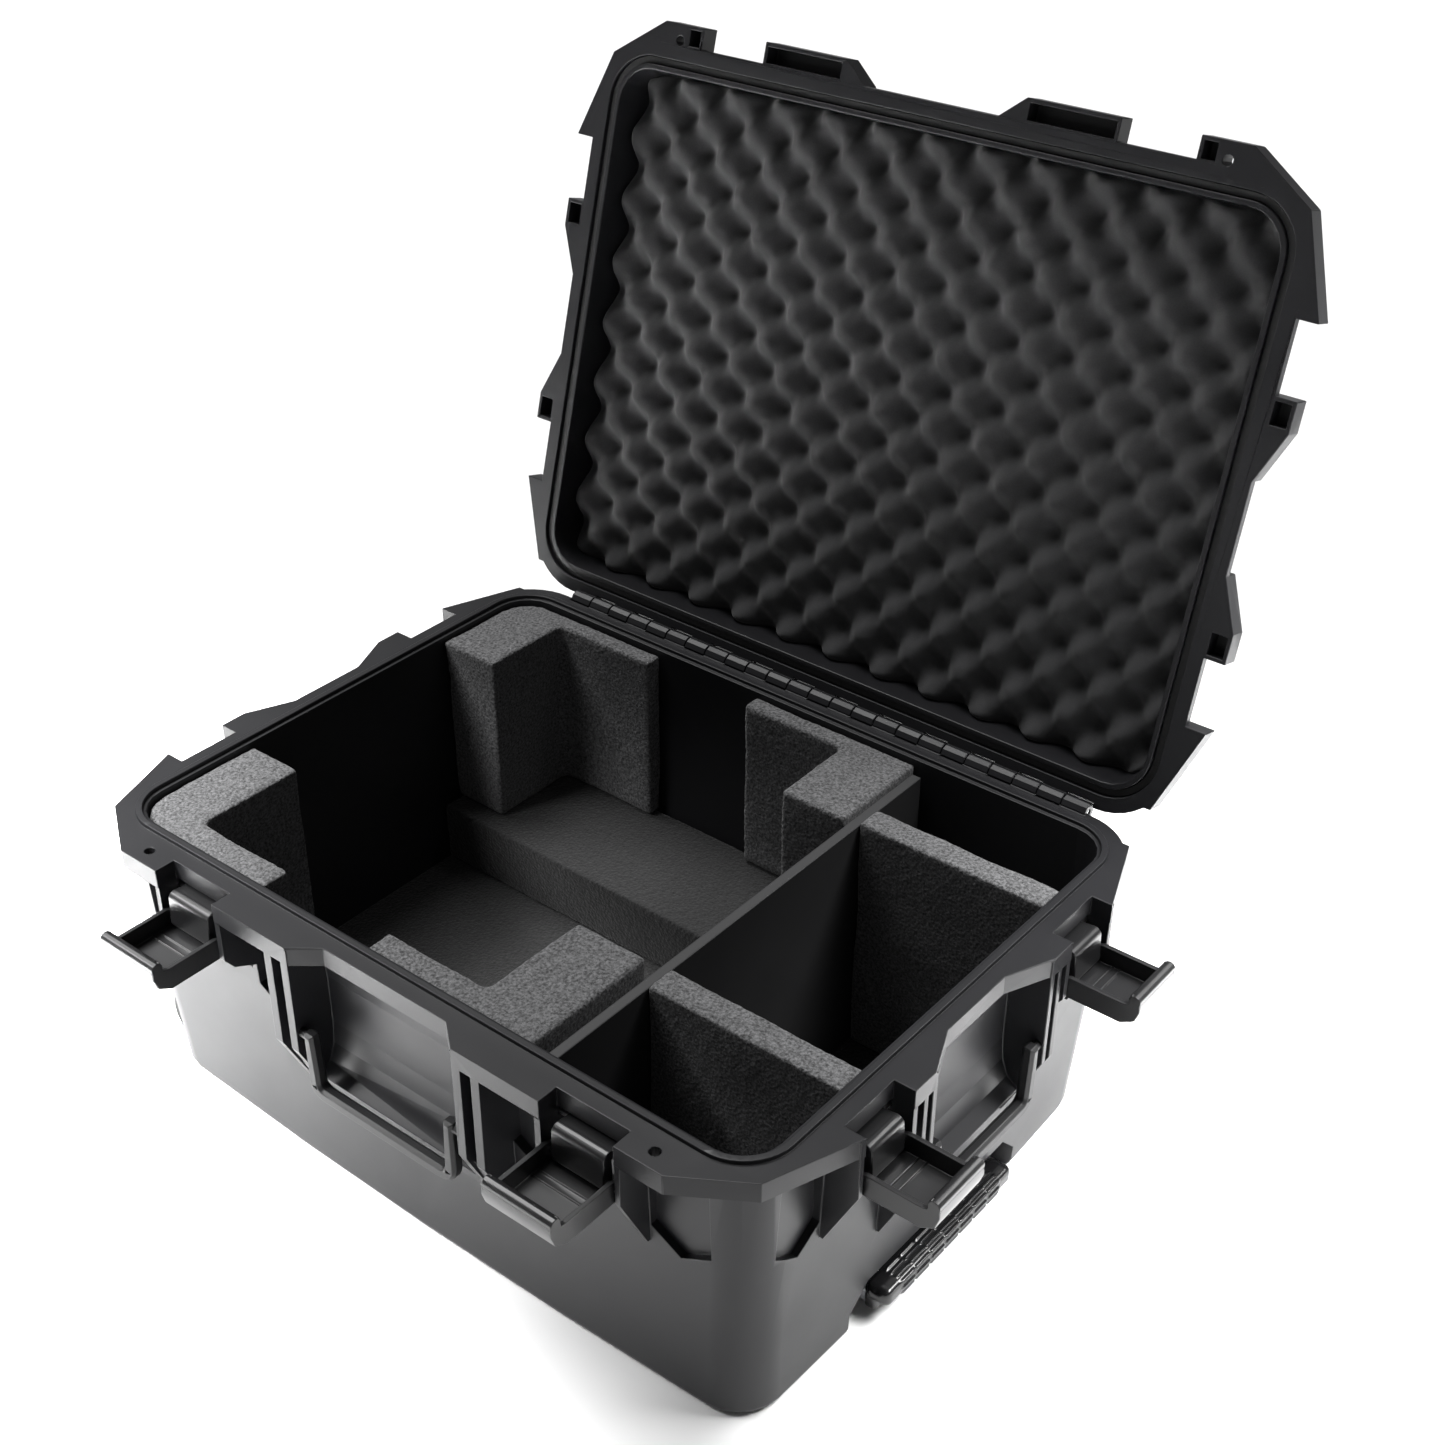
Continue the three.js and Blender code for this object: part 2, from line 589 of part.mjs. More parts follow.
// Bent plate hung from a pin near the wall, with a rounded nose and a barrel for the lever pin.
function latchLink(width) {
  const [px, pz] = LINK_PIN;
  const [lx, lz] = LEVER_PIN;
  const nose = [21.5, CREST_TOP - 24];
  const noseR = 5.5;
  const barrelR = 4.6;
  const shape = new THREE.Shape();
  shape.moveTo(px, pz + 4);
  shape.absarc(...nose, noseR, Math.PI * 0.6, 0, true);
  shape.lineTo(lx + barrelR, lz);
  shape.absarc(lx, lz, barrelR, 0, -Math.PI, true);
  shape.lineTo(lx - barrelR, lz + 4);
  shape.lineTo(nose[0] - 2, nose[1] - 2);
  shape.lineTo(px, pz - 4);
  shape.absarc(px, pz, 4, -Math.PI / 2, Math.PI / 2, true);
  const half = width / 2;
  return cut(acrossWall(shape, -half, half, 5),
    bar(LINK_PIN, LATCH_PIN_R + GAP, -half - 1, half + 1, 8),
    bar(LEVER_PIN, LATCH_PIN_R + GAP, -half - 1, half + 1, 8));
}

// Trough of two rails and a floor, with a hooked bar across its far end.
function latchLever(width) {
  const half = width / 2;
  const railT = 3.5;
  const rail = outline([[-6, -6], [-3, -9], [44, -9], [54, -3], [57, 6], [56, 14], [50, 17], [48.3, 13],
    [48, 9], [44, 8], [4, 8], [-6, 4]].map(([a, b]) => plus(LEVER_PIN, a, b)));
  const floor = [[0, -9], [44, -9], [52, -5], [51, 0], [43, -6], [0, -6]].map(([a, b]) => plus(LEVER_PIN, a, b));
  const end = [[51, -6], [54, -3], [57, 6], [56.5, 13], [49, 16], [49.5, 9], [52, 4], [50, -2]]
    .map(([a, b]) => plus(LEVER_PIN, a, b));
  const hook = plus(LEVER_PIN, LEVER_LENGTH, HOOK_RISE);
  const body = join(
    acrossWall(rail, -half, -half + railT),
    acrossWall(rail, half - railT, half),
    acrossWall(floor, -half + 1, half - 1),
    acrossWall(end, -half + 1, half - 1),
    bar(hook, HOOK_R, -half, half, 10),
  );
  const ribs = [12, 18].map((a) => acrossWall(
    [[a, -7], [a + 2, -7], [a + 1.5, -5.1], [a + 0.5, -5.1]].map(([u, v]) => plus(LEVER_PIN, u, v)),
    -half + railT - 1, half - railT + 1));
  return cut(join(body, ...ribs), bar(LEVER_PIN, LATCH_PIN_R + GAP, -half - 1, half + 1, 8));
}

// Turns a solid of the side's own plane about a point across the wall, outward end down.
function droop(body, centre, angle) {
  const geometry = geometryOf(body);
  geometry.translate(0, centre[0], -centre[1]);
  geometry.rotateX(angle);
  geometry.translate(0, -centre[0], centre[1]);
  return solid(geometry);
}

function addLatch(name, side, at, hang) {
  const { layout } = SIDES[side];
  const width = layout.bay[1] - layout.bay[0] - 2 * BAY_SIDE_GAP;
  const group = new THREE.Group();
  group.applyMatrix4(sideMatrix(side).multiply(new THREE.Matrix4().makeTranslation(at, 0, 0)));
  equipmentCase.add(group);
  const angle = THREE.MathUtils.degToRad(hang);
  const linkWidth = width - LINK_NARROWER;
  const half = width / 2;
  const tilt = angle * LATCH_LINK_RATIO;
  const posed = (body) => droop(body, LINK_PIN, tilt);
  addPiece(`${name}_link`, posed(latchLink(linkWidth)), glossyNylon(), group);
  addPiece(`${name}_lever`, posed(droop(latchLever(width), LEVER_PIN, angle)), glossyNylon(), group);
  addPiece(`${name}_link_pin`, bar(LINK_PIN, LATCH_PIN_R, -half - 4.2, half + 4.2, 8), steel(), group);
  addPiece(`${name}_lever_pin`, posed(bar(LEVER_PIN, LATCH_PIN_R, -half + 0.5, half - 0.5, 8)), steel(), group);
}

const middleOf = ([a, b]) => (a + b) / 2;
for (const [side, hang] of [['front', 0], ['right', 0], ['left', LEVER_HANG]]) {
  const at = middleOf(SIDES[side].layout.bay);
  addLatch(`${side}_latch_a`, side, -at, hang);
  addLatch(`${side}_latch_b`, side, at, hang);
}

// ---------------------------------------------------------------- handles

// U-shaped handle with a round grip, hanging from its two trunnions.
function foldDownHandle(layout) {
  const half = layout.handle;
  const [ho, hz] = HANDLE_PIVOT;
  const low = hz - HANDLE_DROP;
  const r = 14;
  const t = HANDLE_T;
  const shape = new THREE.Shape();
  shape.moveTo(-half, hz + 5);
  shape.lineTo(-half, low + r);
  shape.absarc(-half + r, low + r, r, Math.PI, 1.5 * Math.PI, false);
  shape.absarc(half - r, low + r, r, 1.5 * Math.PI, 2 * Math.PI, false);
  shape.lineTo(half, hz + 5);
  shape.lineTo(half - t + 2, hz + 5);
  shape.lineTo(half - t, low + r);
  shape.absarc(half - r, low + r, r - t, 0, -Math.PI / 2, true);
  shape.absarc(-half + r, low + r, r - t, -Math.PI / 2, -Math.PI, true);
  shape.lineTo(-half + t - 2, hz + 5);
  const bevel = 2.5;
  const geometry = new THREE.ExtrudeGeometry(shape, { depth: t - 2 * bevel, bevelEnabled: true, bevelThickness: bevel,
    bevelSize: 2, bevelOffset: -2, bevelSegments: 1, curveSegments: 3 });
  geometry.rotateX(Math.PI / 2);
  geometry.translate(0, t / 2 - bevel - ho, 0);
  const reach = layout.ribs[0][0] + 3;
  return join(solid(geometry), bar(HANDLE_PIVOT, 3.3, half - 4, reach), bar(HANDLE_PIVOT, 3.3, -reach, -half + 4));
}

for (const side of Object.keys(SIDES)) {
  addPiece(`${side}_handle`, onSide(side, foldDownHandle(SIDES[side].layout)), glossyNylon());
}

// ---------------------------------------------------------------- trolley

const tubeWall = (width, height, x0, x1, y, z) => box(x0, x1, y - width / 2, y + width / 2, z - height / 2, z + height / 2);

for (const [label, side] of [['front', -1], ['rear', 1]]) {
  const y = side * TUBE_Y;
  const outer = cut(tubeWall(TUBE_W, TUBE_H, TUBE_X[0], TUBE_X[1], y, TUBE_Z),
    tubeWall(TUBE_W - 2 * TUBE_WALL, TUBE_H - 2 * TUBE_WALL, TUBE_X[0] - 1, TUBE_X[1] + 1, y, TUBE_Z));
  addPiece(`${label}_outer_tube`, outer, aluminium());
  addPiece(`${label}_trolley_rod`, tubeWall(ROD_W, ROD_H, TUBE_X[0] + 6, GRIP_X[0] - GAP, y, TUBE_Z), aluminium());
}

// Bar with rounded section and ribs, its two ends bent down to the rods.
function trolleyGrip() {
  const [x0, x1] = GRIP_X;
  const section = roundedRectangle((x1 - x0) / 2, GRIP_H / 2, 6);
  const core = new THREE.ExtrudeGeometry(section, { depth: 2 * GRIP_HALF, bevelEnabled: false, curveSegments: 5 });
  core.rotateX(Math.PI / 2);
  core.translate((x0 + x1) / 2, GRIP_HALF, GRIP_Z);
  let body = solid(core);
  for (const side of [-1, 1]) {
    const y = side * TUBE_Y;
    body = body.add(box(x0, x0 + 10, y - 9, y + 9, TUBE_Z - 7, GRIP_Z));
  }
  return body;
}

addPiece('trolley_grip', trolleyGrip(), rubber());

// ---------------------------------------------------------------- wheels

// A ring turned about the axle: points are radius and distance from the middle of the wheel.
function turned(profile, side) {
  const closed = [...profile, profile[0]].map(([r, y]) => new THREE.Vector2(r, y));
  const geometry = new THREE.LatheGeometry(closed, 20);
  geometry.translate(WHEEL_X, side * WHEEL_Y, WHEEL_Z);
  return solid(geometry);
}

const mirroredProfile = (half) => [...half, ...half.map(([r, y]) => [r, -y]).reverse()];
const hubProfile = mirroredProfile([[AXLE_R + GAP, -WHEEL_W / 2], [10, -WHEEL_W / 2], [11, -6], [TYRE_IN - 3, -6],
  [TYRE_IN - 2, -9], [TYRE_IN - GAP, -9]]);
const tyreProfile = mirroredProfile([[TYRE_IN, -9.5], [26, -10.5], [29, -8], [WHEEL_R, -4]]);

for (const [label, side] of [['front', -1], ['rear', 1]]) {
  addPiece(`${label}_wheel_hub`, turned(hubProfile, side), glossyNylon());
  addPiece(`${label}_tyre`, turned(tyreProfile, side), rubber());
  addPiece(`${label}_axle`, alongY(WHEEL_X, WHEEL_Z, AXLE_R, ...axleSpan(side)), steel());
}

// ---------------------------------------------------------------- interior

// Everything soft keeps inside the tapering walls.
function interiorLimit(z0, z1) {
  const at = (z) => CAVITY_IN + (CREST_TOP - z) * Math.tan(CAVITY_DRAFT) + 0.7;
  return loft([z0, z1].map((z) =>
    ring(CREST_W / 2 - at(z), CREST_D / 2 - at(z), CAVITY_R, 3 * (CREST_TOP - z) / CREST_TOP, z)));
}

// Boxes around the wheel wells, tube channels and trolley bay, which the pads fit round.
function raisedHousings() {
  const bodies = [box(GRIP_X[0] - 17, 300, -BAY_HALF - 5, BAY_HALF + 5, -1, 45)];
  for (const side of [-1, 1]) {
    const [y0, y1] = [WHEEL_Y - WHEEL_W / 2 - 6, CREST_D / 2].map((y) => side * y).sort((a, b) => a - b);
    const tube = side * TUBE_Y;
    bodies.push(box(-300, WHEEL_X + WELL_R + 5, y0, y1, -1, WHEEL_Z + WELL_R + 5));
    bodies.push(box(TUBE_X[0] - 5, 300, tube - TUBE_W / 2 - 4, tube + TUBE_W / 2 + 4, -1, TUBE_Z + TUBE_H / 2 + 4));
  }
  return join(...bodies);
}
const housed = raisedHousings();

// A soft piece cut to the tub: its boxes are X and Y ranges, from one height to another.
function padding(areas, z0, z1) {
  const body = join(...areas.map(([x0, x1, y0, y1]) => box(x0, x1, y0, y1, z0, z1)));
  return cut(body.intersect(interiorLimit(z0, z1)), housed);
}

// Past the walls on every side; padding() trims it back.
const FAR_X = CREST_W / 2;
const FAR_Y = CREST_D / 2;
const CLEAR = 0.4;
const blockFoot = BASE_PAD_TOP + CLEAR;
const backFoot = FLOOR_FOAM_TOP + CLEAR;

addPiece('base_pad', padding([[-FAR_X, FAR_X, -FAR_Y, FAR_Y]], FLOOR + CLEAR, BASE_PAD_TOP), foam());
addPiece('floor_foam', padding([[-FAR_X, PANEL[0] - CLEAR, 90, FAR_Y]], blockFoot, FLOOR_FOAM_TOP), foam());
addPiece('divider_panel', padding([[...PANEL, -FAR_Y, 196]], blockFoot, PANEL_TOP), panelBoard());

addPiece('front_left_block', padding([[-FAR_X, -234, -FAR_Y, -92], [-FAR_X, -143, -FAR_Y, -180.5]],
  blockFoot, BLOCK_TOP), foam());
addPiece('front_right_block', padding([[-39.5, 111, -FAR_Y, -182.5], [50, 111, -FAR_Y, -96]],
  blockFoot, BLOCK_TOP), foam());
addPiece('rear_left_block', padding([[-FAR_X, -228, 108, FAR_Y], [-FAR_X, -132, 188, FAR_Y]],
  backFoot, BLOCK_TOP), foam());
addPiece('rear_right_block', padding([[-33, 119, 188, FAR_Y], [61, 119, 113, FAR_Y]],
  backFoot, BLOCK_TOP), foam());

addPiece('front_divider', padding([[PANEL[1] + CLEAR, FAR_X, -117, -93]], blockFoot, BLOCK_TOP), foam());
addPiece('rear_divider', padding([[PANEL[1] + CLEAR, FAR_X, 116, 140]], blockFoot, BLOCK_TOP), foam());

export default equipmentCase;
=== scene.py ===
"""Looks of a wheeled hard equipment case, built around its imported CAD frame.

The frame's nodes carry every size. Hard pieces are finished copies of those nodes with broken edges, and
foam blocks are copies with a rounded, uneven skin. The ribbed grip and the egg-crate lining are surfaces
worked out here.
"""

import json
import math

import bmesh
import bpy
import numpy as np
from bpy.props import FloatProperty, FloatVectorProperty, IntProperty, PointerProperty
from mathutils import Matrix, Vector
from mathutils.bvhtree import BVHTree


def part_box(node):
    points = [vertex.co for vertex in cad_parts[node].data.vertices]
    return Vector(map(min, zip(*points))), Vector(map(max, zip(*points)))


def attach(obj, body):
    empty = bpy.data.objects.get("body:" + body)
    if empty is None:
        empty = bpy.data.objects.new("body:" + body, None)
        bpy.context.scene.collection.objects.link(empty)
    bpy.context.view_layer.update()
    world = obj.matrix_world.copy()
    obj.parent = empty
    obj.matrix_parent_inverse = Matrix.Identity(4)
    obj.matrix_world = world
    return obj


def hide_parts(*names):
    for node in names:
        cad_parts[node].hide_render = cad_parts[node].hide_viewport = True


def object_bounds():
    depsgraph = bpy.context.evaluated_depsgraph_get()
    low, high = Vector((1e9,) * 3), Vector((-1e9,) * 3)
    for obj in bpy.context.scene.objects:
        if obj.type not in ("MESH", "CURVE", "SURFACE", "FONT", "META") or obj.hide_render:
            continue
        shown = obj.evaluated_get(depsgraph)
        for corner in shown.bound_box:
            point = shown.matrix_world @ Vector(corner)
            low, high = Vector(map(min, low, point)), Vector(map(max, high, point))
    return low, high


bl_info = {
    "name": "Hard Equipment Case",
    "version": (1, 0, 0),
    "blender": (4, 5, 0),
    "location": "View3D > Sidebar > Case",
    "description": "Builds the finishes, foam and soft pieces of a wheeled equipment case around its frame",
    "category": "Object",
}

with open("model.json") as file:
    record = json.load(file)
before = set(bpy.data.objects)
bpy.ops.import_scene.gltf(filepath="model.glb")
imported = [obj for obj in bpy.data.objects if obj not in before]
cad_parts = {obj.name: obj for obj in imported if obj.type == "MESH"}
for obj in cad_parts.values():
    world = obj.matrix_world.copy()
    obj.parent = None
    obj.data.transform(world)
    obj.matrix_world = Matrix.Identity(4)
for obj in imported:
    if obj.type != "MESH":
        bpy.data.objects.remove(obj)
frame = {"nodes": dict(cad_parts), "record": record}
CAD_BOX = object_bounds()
RECORD = frame["record"]
BODY_OF = {node: body for body, nodes in RECORD["behaviour"]["bodies"].items() for node in nodes}
SLOT_OF = {part["node"]: part["material_slot"] for part in RECORD["subparts"]}
LID_HINGE = next(joint for joint in RECORD["behaviour"]["joints"] if joint["name"] == "lid_hinge")
SIDES = ("front", "right", "left")
MM = 0.001

WELD_DISTANCE = 0.01 * MM
FLAT_ANGLE = math.radians(0.4)      # facets closer than this to one plane are cut afresh as one
BEVEL_ANGLE = math.radians(30)
SMOOTH_ANGLE = 26                   # degrees; steeper edges stay sharp in the shading

FOAM_VOXEL = 2.6 * MM
FOAM_RELAX = 4                      # smoothing passes that round the corners of cut foam
FOAM_FLOOR_PAINTED_SHADE = 0.13              # painted shade: the floor foam and the base pad take the block colour darkened to this share, for the shade at the bottom of the tub


def linear(hex_colour):
    """An sRGB hex colour such as "#1c1c1e" as linear red, green and blue."""
    values = [int(hex_colour[i:i + 2], 16) / 255 for i in (1, 3, 5)]
    return tuple(v / 12.92 if v <= 0.04045 else ((v + 0.055) / 1.055) ** 2.4 for v in values)


# ---------------------------------------------------------------- settings


class ShellSettings(bpy.types.PropertyGroup):
    """Tub, lid and seal."""

    edge: FloatProperty(
        name="Edge radius", description="How far the moulded edges are broken",
        default=0.6 * MM, min=0, unit="LENGTH")
    colour: FloatVectorProperty(
        name="Polypropylene", description="Colour of the tub and lid",
        default=linear("#1d1d1f"), subtype="COLOR", size=3)


class FittingSettings(bpy.types.PropertyGroup):
    """Latches, handles, trolley grip and wheels."""

    edge: FloatProperty(
        name="Edge radius", description="How far the edges of latches and handles are broken",
        default=0.5 * MM, min=0, unit="LENGTH")
    colour: FloatVectorProperty(
        name="Nylon", description="Colour of latches, handles and hubs",
        default=linear("#1a1a1b"), subtype="COLOR", size=3)
    rib_height: FloatProperty(
        name="Rib height", description="How far the ribs stand out of the trolley grip",
        default=1.3 * MM, min=0, unit="LENGTH")
    rib_rows: IntProperty(
        name="Rib rows", description="Ribs round the trolley grip", default=12, min=3)
    rib_segments: IntProperty(
        name="Rib segments", description="Lengths that each rib is broken into", default=7, min=1)


class FoamSettings(bpy.types.PropertyGroup):
    """Blocks, dividers, pads and the egg-crate lining."""

    cell: FloatProperty(
        name="Cell size", description="Size of the larger cells that show on the cut foam",
        default=2.6 * MM, min=0.5 * MM, unit="LENGTH")
    block_colour: FloatVectorProperty(
        name="Block foam", description="Colour of the cut foam",
        default=linear("#4e4e4f"), subtype="COLOR", size=3)
    lining_colour: FloatVectorProperty(
        name="Egg-crate foam", description="Colour of the lid lining",
        default=linear("#303031"), subtype="COLOR", size=3)
    pitch_x: FloatProperty(
        name="Bump pitch", description="Distance between bumps along the hinge",
        default=46 * MM, min=5 * MM, unit="LENGTH")
    pitch_y: FloatProperty(
        name="Row pitch", description="Distance between every second row of bumps",
        default=50 * MM, min=5 * MM, unit="LENGTH")
    bump_depth: FloatProperty(
        name="Bump depth", description="From the top of a bump to the bottom of a dimple",
        default=19 * MM, min=0, unit="LENGTH")


# ---------------------------------------------------------------- meshes


def make_object(name, vertices, faces):
    """A mesh object from vertex and face arrays, linked to the scene."""
    mesh = bpy.data.meshes.new(name)
    mesh.from_pydata(vertices.tolist(), [], faces)
    mesh.validate()
    made = bpy.data.objects.new(name, mesh)
    bpy.context.scene.collection.objects.link(made)
    return made


def grid_faces(rows, columns, wrap):
    """Quads of a grid of points, row by row; wrap joins the last column to the first."""
    row = np.arange(rows - 1)[:, None]
    column = np.arange(columns if wrap else columns - 1)[None, :]
    following = (column + 1) % columns
    corners = [row * columns + column, row * columns + following,
               (row + 1) * columns + following, (row + 1) * columns + column]
    return np.stack(np.broadcast_arrays(*corners), axis=-1).reshape(-1, 4)


def outward(obj):
    """Turns every face of a closed mesh outwards."""
    work = bmesh.new()
    work.from_mesh(obj.data)
    bmesh.ops.recalc_face_normals(work, faces=work.faces)
    work.to_mesh(obj.data)
    work.free()
    return obj


def merged_copy(node, name):
    """A copy of a frame node with its triangles welded and its flat faces cut afresh."""
    mesh = frame["nodes"][node].data.copy()
    mesh.name = name
    mesh.materials.clear()
    work = bmesh.new()
    work.from_mesh(mesh)
    bmesh.ops.remove_doubles(work, verts=work.verts, dist=WELD_DISTANCE)
    bmesh.ops.dissolve_limit(work, angle_limit=FLAT_ANGLE, verts=work.verts, edges=work.edges)
    bmesh.ops.triangulate(work, faces=work.faces)
    work.to_mesh(mesh)
    work.free()
    made = bpy.data.objects.new(name, mesh)
    bpy.context.scene.collection.objects.link(made)
    return made


def smooth(obj, angle=SMOOTH_ANGLE):
    """Smooth shading, kept sharp along edges steeper than the angle in degrees."""
    obj.data.shade_smooth()
    obj.data.set_sharp_from_angle(angle=math.radians(angle))
    return obj


def baked(obj):
    """Replaces the object's mesh with what its modifiers make of it."""
    bpy.context.view_layer.update()
    evaluated = obj.evaluated_get(bpy.context.evaluated_depsgraph_get())
    finished = bpy.data.meshes.new_from_object(evaluated)
    obj.modifiers.clear()
    obj.data = finished
    return obj


def break_edges(obj, radius, segments=2):
    """Rounds the sharp edges by a small radius and keeps the flat faces flat in the shading.

    Where three slanting edges meet, the bevel can throw a point far out, so a point more than twice the
    radius off the old surface goes back to it.
    """
    before = BVHTree.FromObject(obj, bpy.context.evaluated_depsgraph_get())
    bevel = obj.modifiers.new("Broken edges", "BEVEL")
    bevel.width = radius
    bevel.segments = segments
    bevel.limit_method = "ANGLE"
    bevel.angle_limit = BEVEL_ANGLE
    bevel.use_clamp_overlap = False
    baked(obj)
    for vertex in obj.data.vertices:
        nearest, _, _, distance = before.find_nearest(vertex.co)
        if distance > 2 * radius:
            vertex.co = nearest
    weighted = obj.modifiers.new("Flat faces", "WEIGHTED_NORMAL")
    weighted.keep_sharp = True
    return obj


def coordinates(obj, what="co", collection="vertices"):
    """Vertex positions, or another three-number value, as one array."""
    source = getattr(obj.data, collection)
    values = np.empty(len(source) * 3, np.float32)
    source.foreach_get(what, values)
    return values.reshape(-1, 3).astype(float)


def ripples(points, wavelength, seed, waves=24):
    """Smooth noise: sine waves of one length in seeded random directions.

    Their sum is divided by the root of their number, so its spread doesn't depend on how many there are.
    """
    random = np.random.default_rng(seed)
    directions = random.normal(size=(waves, 3))
    directions /= np.linalg.norm(directions, axis=1)[:, None]
    phases = random.uniform(0, 2 * np.pi, waves)
    heights = np.sin(points @ directions.T * (2 * np.pi / wavelength) + phases)
    return heights.sum(axis=1) / math.sqrt(waves)


def stand_for(obj, node, material):
    """The piece shows in place of a frame node, rides on its body and takes the given material."""
    obj.data.materials.clear()
    obj.data.materials.append(material)
    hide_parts(node)
    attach(obj, BODY_OF[node])
    return obj


# ---------------------------------------------------------------- materials


def add(tree, kind, settings=None, **inputs):
    """Adds a node, sets its properties, and sets or links its inputs.

    An input is given by its name with underscores for spaces, or by its number after an i.
    """
    node = tree.nodes.new(kind)
    for key, value in (settings or {}).items():
        setattr(node, key, value)
    for key, value in inputs.items():
        numbered = key[0] == "i" and key[1:].isdigit()
        socket = node.inputs[int(key[1:]) if numbered else key.replace("_", " ")]
        if isinstance(value, bpy.types.NodeSocket):
            tree.links.new(value, socket)
        else:
            socket.default_value = value
    return node


def begin(name):
    """A new material: itself, its node tree, its Principled shader and the Object coordinates."""
    material = bpy.data.materials.new(name)
    material.use_nodes = True
    tree = material.node_tree
    tree.nodes.clear()
    shader = add(tree, "ShaderNodeBsdfPrincipled")
    output = add(tree, "ShaderNodeOutputMaterial")
    tree.links.new(shader.outputs["BSDF"], output.inputs["Surface"])
    place = add(tree, "ShaderNodeTexCoord").outputs["Object"]
    return material, tree, shader, place


def ramp(tree, value, low, high):
    """A number mapped so that 0 gives low and 1 gives high."""
    return add(tree, "ShaderNodeMapRange", Value=value, To_Min=low, To_Max=high).outputs["Result"]


def shade(tree, factor, dark, light):
    """A colour between dark and light."""
    mix = add(tree, "ShaderNodeMix", {"data_type": "RGBA"}, i0=factor)
    mix.inputs[6].default_value = (*dark, 1)
    mix.inputs[7].default_value = (*light, 1)
    return mix.outputs[2]


def per_metre(size_mm):
    """Texture scale for a pattern whose repeat is this many millimetres."""
    return 1000 / size_mm


def scaled(colour, factor):
    """A colour made lighter or darker."""
    return tuple(min(1, c * factor) for c in colour)


def noise(tree, place, size_mm, **inputs):
    """Noise of one size in millimetres, as a number from 0 to 1."""
    return add(tree, "ShaderNodeTexNoise", Vector=place, Scale=per_metre(size_mm), **inputs).outputs[0]


def tint(tree, shader, factor, colour, dark, light):
    """Drives the base colour from dark to light shades of one colour."""
    mixed = shade(tree, factor, scaled(colour, dark), scaled(colour, light))
    tree.links.new(mixed, shader.inputs["Base Color"])


def plastic(name, colour, roughness, grain_mm, grain_depth_mm, ior, coat=0.0, specular=0.5):
    """Moulded plastic: spark-eroded grain, faint streaks of handling, roughness that wanders a little."""
    material, tree, shader, place = begin(name)
    grain = noise(tree, place, grain_mm, Detail=3.0)
    wander = noise(tree, place, 70, Detail=4.0)
    tint(tree, shader, wander, colour, 0.85, 1.15)
    tree.links.new(ramp(tree, wander, roughness - 0.07, roughness + 0.07), shader.inputs["Roughness"])
    bump = add(tree, "ShaderNodeBump", Strength=0.35, Distance=grain_depth_mm * MM, Height=grain)
    tree.links.new(bump.outputs["Normal"], shader.inputs["Normal"])
    shader.inputs["IOR"].default_value = ior
    shader.inputs["Coat Weight"].default_value = coat
    shader.inputs["Specular IOR Level"].default_value = specular
    return material


def moulded_polypropylene(colour):
    """Copolymer polypropylene from a textured mould: a satin skin.

    The real grain of about 0.15 mm is too fine to show, so it is drawn at 1.2 mm.
    """
    return plastic("Moulded polypropylene", colour, 0.40, 1.2, 0.05, 1.49, specular=0.28)


def glass_filled_nylon(colour):
    """Glass-filled nylon from a polished mould: glossier than the shell, with sharp highlights."""
    return plastic("Glass-filled nylon", colour, 0.34, 0.9, 0.02, 1.53, coat=0.06, specular=0.42)


def grained_nylon(colour):
    """Glass-filled nylon from a grained mould, as on grips: black, with one broad soft highlight."""
    return plastic("Grained nylon", colour, 0.46, 0.9, 0.04, 1.53, specular=0.28)


def moulded_rubber(name, colour, roughness):
    """Moulded rubber: a soft dark skin with a fine matt bloom."""
    return plastic(name, colour, roughness, 0.8, 0.03, 1.5)


def polyethylene_foam(name, colour, cell_mm):
    """Cut closed-cell polyethylene foam with opened cells over the whole face: its colour is a random speckle
    that follows the same fine noise as the bumps, so the pits carry painted shade and the cell walls are
    painted lighter.
    """
    material, tree, shader, place = begin(name)
    cells = add(tree, "ShaderNodeTexVoronoi", Vector=place, Scale=per_metre(cell_mm))
    fine = noise(tree, place, cell_mm * 0.8, Detail=4.0, Roughness=0.7)
    # Random speckle and painted shade: darker where the fine noise sinks the bump, lighter where it raises
    # it.
    speckle_and_pit_shade = add(tree, "ShaderNodeMapRange", Value=fine, From_Min=0.36, From_Max=0.64).outputs[0]
    tint(tree, shader, speckle_and_pit_shade, colour, 0.22, 1.95)
    height = add(tree, "ShaderNodeMath", {"operation": "ADD"}, i0=cells.outputs["Distance"], i1=fine)
    bump = add(tree, "ShaderNodeBump", Strength=0.8, Distance=0.9 * MM, Height=height.outputs[0])
    tree.links.new(bump.outputs["Normal"], shader.inputs["Normal"])
    shader.inputs["Roughness"].default_value = 0.9
    shader.inputs["Sheen Weight"].default_value = 0.15
    return material


def polyurethane_foam(colour):
    """Convoluted polyurethane foam: an even, soft open-cell surface, matt with a faint nap, its colour darker
    where the same noise sinks the bump: painted shade in the cells.

    The real cells, well under a millimetre, are too fine to show, so they are drawn at 1.1 mm.
    """
    material, tree, shader, place = begin("Convoluted polyurethane foam")
    cells = noise(tree, place, 1.1, Detail=3.0)
    # Random tone and painted shade: the colour darkens where the cells' bump sinks.
    tint(tree, shader, cells, colour, 0.7, 1.3)
    bump = add(tree, "ShaderNodeBump", Strength=0.4, Distance=0.3 * MM, Height=cells)
    tree.links.new(bump.outputs["Normal"], shader.inputs["Normal"])
    shader.inputs["Roughness"].default_value = 0.95
    shader.inputs["Sheen Weight"].default_value = 0.1
    return material


